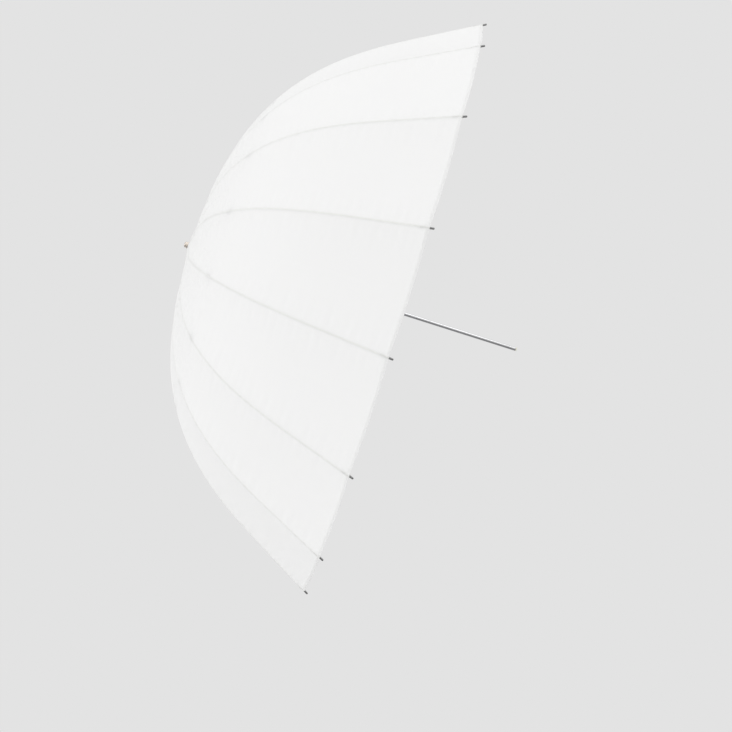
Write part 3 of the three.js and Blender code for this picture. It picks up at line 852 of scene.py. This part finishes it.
def make_catch():
    """The pressed catch that stands out of the shaft at the end of the runner's sleeve, and its pin."""
    nose = RUNNER_X + RUNNER_SLEEVE + 0.4 * MM
    height = 6.6 * MM
    pivot = Vector(JOINTS["catch_press"]["pos_m"])
    outline = [(nose, height), (nose, 1.6 * MM), (pivot.x - 1 * MM, -0.8 * MM)]
    outline += arc((pivot.x, pivot.z), 1.8 * MM, -60, 75, 8)
    outline += [(nose + 17 * MM, 3.2 * MM), (nose + 2 * MM, height)]
    spring = plate("catch_leaf", outline, 1.8 * MM, 0.25 * MM)
    dress(spring, SPRING_METAL, "catch", ["catch_spring"])
    heads = ((-3.9, 0.55), (-3.75, 0.7), (3.75, 0.7), (3.9, 0.55))
    rivet = rings_object("catch_rivet", pin_rings(pivot.x, pivot.z, heads, 20))
    dress(rivet, SPRING_METAL, "root", ["catch_pin"])


def make_crown():
    """The wheel at the shaft's end that the ribs hinge on. Its front side is closed over the slots."""
    profile = hub_profile(HINGE_X, HINGE_X - 5.6 * MM, HINGE_X + 5 * MM, HINGE_X + 13 * MM, 7.5 * MM)
    make_hub("crown_hub", "crown", "root", profile, HINGE_X - 3.6 * MM, HINGE_X + 6 * MM)


def make_runner():
    """The sliding wheel that the stretchers hinge on, with a sleeve and a keyway for the catch."""
    sleeve_end = RUNNER_X + RUNNER_SLEEVE
    profile = hub_profile(RUNNER_X, RUNNER_X - 5 * MM, RUNNER_X + 5 * MM, sleeve_end, 8.5 * MM)
    keyway = ((RUNNER_X - 7 * MM, -CATCH_SLOT_HALF, 3 * MM),
              (sleeve_end + 2 * MM, CATCH_SLOT_HALF, 6.95 * MM), 0)
    make_hub("runner_hub", "runner", "runner", profile, RUNNER_X - 6 * MM, RUNNER_X + 6 * MM, [keyway])


def make_shaft_group():
    make_shaft()
    make_end_plug()
    make_crown()
    make_runner()
    make_wire_ring("crown_wire", "crown_ring", HINGE_X, "root")
    make_wire_ring("runner_wire", "runner_ring", RUNNER_X, "runner")
    make_ferrule()
    make_washer("ferrule_disc", "ferrule_washer", SHAFT_METAL, 0.2 * MM)
    make_washer("crown_disc", "crown_pad", NYLON, 0.15 * MM)
    make_catch()


for rib_name in RIB_NAMES:
    make_rib(rib_name)
    make_tip(rib_name)
    make_pocket(rib_name)
    make_rib_blade(rib_name)
    make_elbow_clip(rib_name)
    make_stretcher(rib_name)
make_canopy()
make_canopy_centre()
make_shaft_group()


# ---- Studio -----------------------------------------------------------------------------------------
BACKGROUND = 0.768                  # linear grey of the plain backdrop
FLOOR_X = -0.35                     # middle of the floor, about under the middle of the umbrella
FLOOR_Z = -1.75
LIGHTS_AIM = Vector((-0.45, 0, 0))


def make_world():
    world = bpy.data.worlds.new("studio")
    world.use_nodes = True
    world.node_tree.nodes["Background"].inputs["Color"].default_value = (BACKGROUND,) * 3 + (1,)
    bpy.context.scene.world = world
    bpy.context.scene.view_settings.view_transform = "Standard"


def make_floor():
    """A pale floor well below the umbrella, as under a stand, that fades out at its edge."""
    turns = full_turn(96)
    radii = [0.3, 0.8, 1.4, 2.0, 2.6]
    vertices = [(FLOOR_X + radius * math.cos(turn), radius * math.sin(turn), FLOOR_Z)
                for radius in radii for turn in turns]
    faces = grid_faces(len(radii), len(turns), wrap=True)
    faces.append(tuple(range(len(turns))))
    floor = add_object("floor", vertices, faces)
    nodes = Nodes("pale_floor")
    where = nodes.add("ShaderNodeTexCoord").outputs["Object"]
    x, y, _ = nodes.add("ShaderNodeSeparateXYZ", Vector=where).outputs
    shifted = nodes.maths("SUBTRACT", x, FLOOR_X)
    reach = nodes.maths("SQRT", nodes.maths("ADD", nodes.maths("MULTIPLY", shifted, shifted),
                                            nodes.maths("MULTIPLY", y, y)))
    edge = nodes.ramp(reach, 1.1, 2.5)
    speckle = nodes.ramp(nodes.noise(where, 40.0, 4.0), 0.3, 0.7, 0.82, 0.84)
    pale = nodes.add("ShaderNodeBsdfPrincipled", Roughness=0.9, Base_Color=nodes.add(
        "ShaderNodeCombineColor", Red=speckle, Green=speckle, Blue=speckle).outputs[0])
    clear = nodes.add("ShaderNodeBsdfTransparent")
    mixed = nodes.add("ShaderNodeMixShader", Fac=edge, i1=pale.outputs[0], i2=clear.outputs[0])
    floor.data.materials.append(nodes.finish(mixed.outputs[0]))


def make_softbox(name, place, width, height, watts):
    """A soft rectangular light that faces the umbrella's middle and isn't seen itself."""
    light = bpy.data.lights.new(name, "AREA")
    light.shape = "RECTANGLE"
    light.size, light.size_y = width, height
    light.energy = watts
    lamp = bpy.data.objects.new(name, light)
    bpy.context.scene.collection.objects.link(lamp)
    lamp.location = place
    lamp.rotation_euler = (LIGHTS_AIM - Vector(place)).to_track_quat("-Z", "Y").to_euler()
    lamp.visible_camera = False


def make_dark_flag():
    """A curved dark card below and in front, which only shows in the polished metal."""
    turns = np.radians(np.linspace(4, 118, 20))
    reach, drop = 2.2, 1.5
    rows = [[(x, -reach * math.cos(turn), -drop * math.sin(turn)) for turn in turns]
            for x in (-4.6, 2.4)]
    flag = add_object("dark_flag", rows[0] + rows[1], grid_faces(2, len(turns)))
    nodes = Nodes("dark_card")
    nap = nodes.ramp(nodes.noise(place_on_object(nodes), 30.0), 0.3, 0.7, 0.85, 0.95)
    card = nodes.add("ShaderNodeBsdfPrincipled", Base_Color=(0.26, 0.26, 0.265, 1), Roughness=nap)
    flag.data.materials.append(nodes.finish(card.outputs[0]))
    flag.visible_camera = False
    flag.visible_diffuse = False
    flag.visible_shadow = False
    flag.visible_transmission = False


def make_studio():
    make_world()
    make_floor()
    make_dark_flag()
    make_softbox("key_light", (-2.2, -3.4, 2.4), width=2.6, height=2.6, watts=7.7)
    make_softbox("top_light", (-0.7, -0.9, 3.0), width=2.6, height=2.6, watts=22)
    make_softbox("low_fill", (-0.75, -0.95, -1.65), width=2.0, height=1.6, watts=4.9)
    make_softbox("left_fill", (-3.4, -1.0, -0.5), width=2.2, height=2.2, watts=19.7)
    make_softbox("side_fill", (2.4, -3.0, 0.4), width=2.0, height=2.0, watts=6.1)
    make_softbox("inner_light", (2.2, 1.6, 1.0), width=2.2, height=2.2, watts=11.1)


make_studio()
